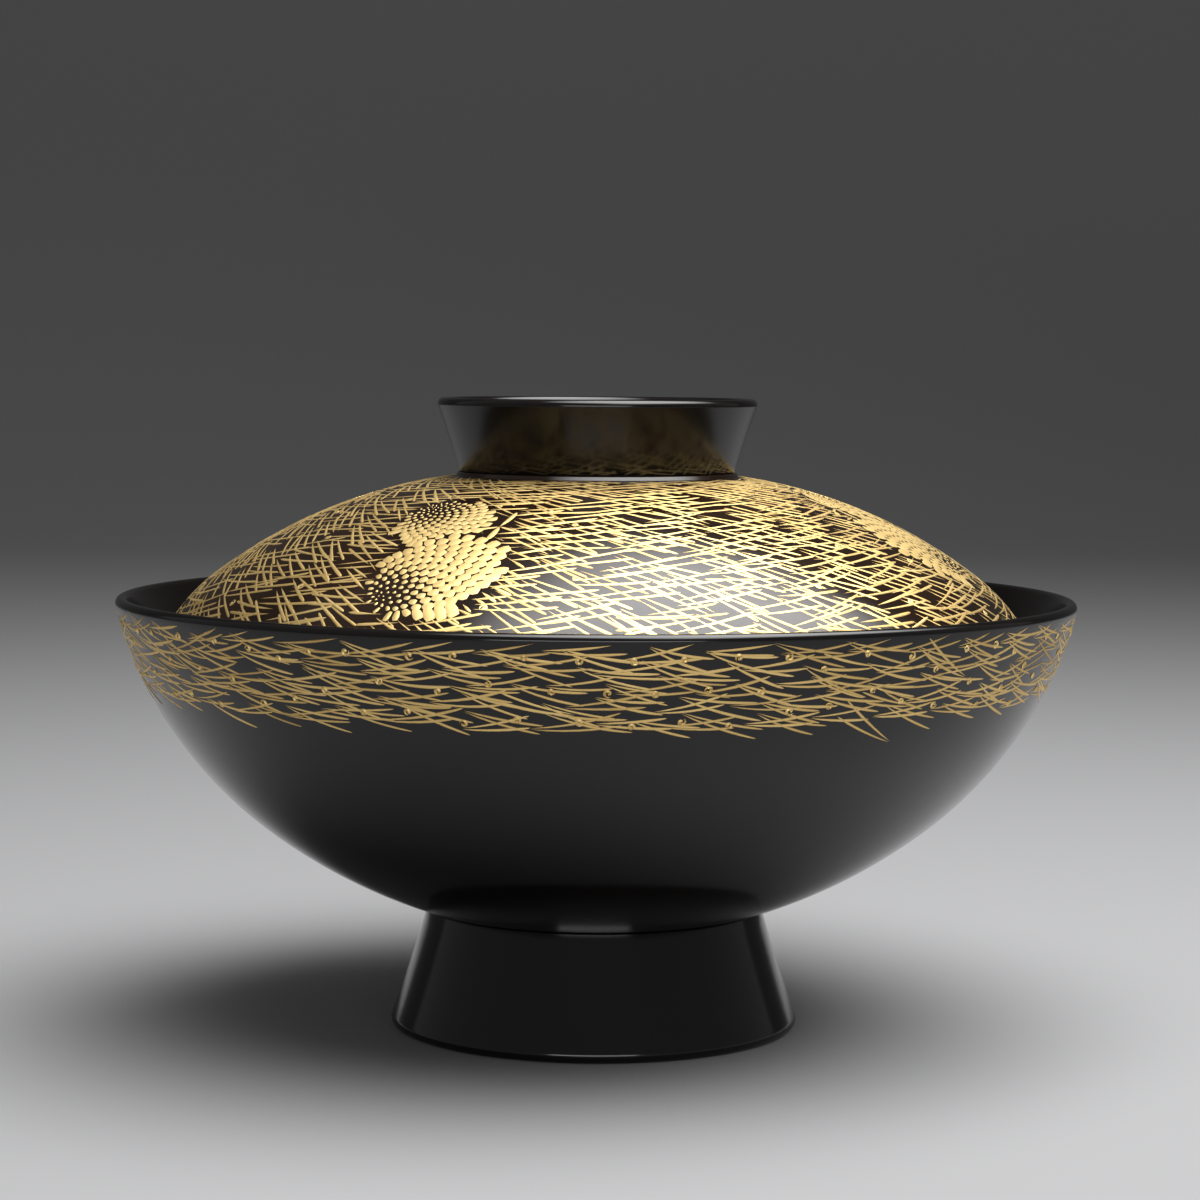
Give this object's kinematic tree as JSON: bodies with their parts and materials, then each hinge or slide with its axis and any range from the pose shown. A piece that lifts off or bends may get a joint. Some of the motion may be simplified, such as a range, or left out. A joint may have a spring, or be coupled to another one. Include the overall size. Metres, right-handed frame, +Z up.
{
  "type": "lidded soup bowl",
  "caption": "Round lacquered wooden soup bowl on a flared foot, with a domed lid that rests inside the rim and a flared ring knob.",
  "frame": {"origin": "on the table, at the middle of the foot ring", "axes": "+Z up along the axis of turning, which is also the way the lid lifts; X and Y level"},
  "size_m": [0.1302, 0.1302, 0.0859],
  "materials": {
    "black_lacquer": "gloss black lacquer over turned wood",
    "gold": "sprinkled gold powder in thin raised lines"
  },
  "bodies": {
    "bowl": {"bowl_body": "black_lacquer", "foot_ring": "black_lacquer"},
    "lid": {"lid_dome": "black_lacquer", "knob_ring": "black_lacquer"}
  },
  "joints": [
    {"name": "lid_lift", "type": "slide", "parent": "bowl", "child": "lid", "axis": [0, 0, 1], "range_m": [0, 0.08]}
  ]
}
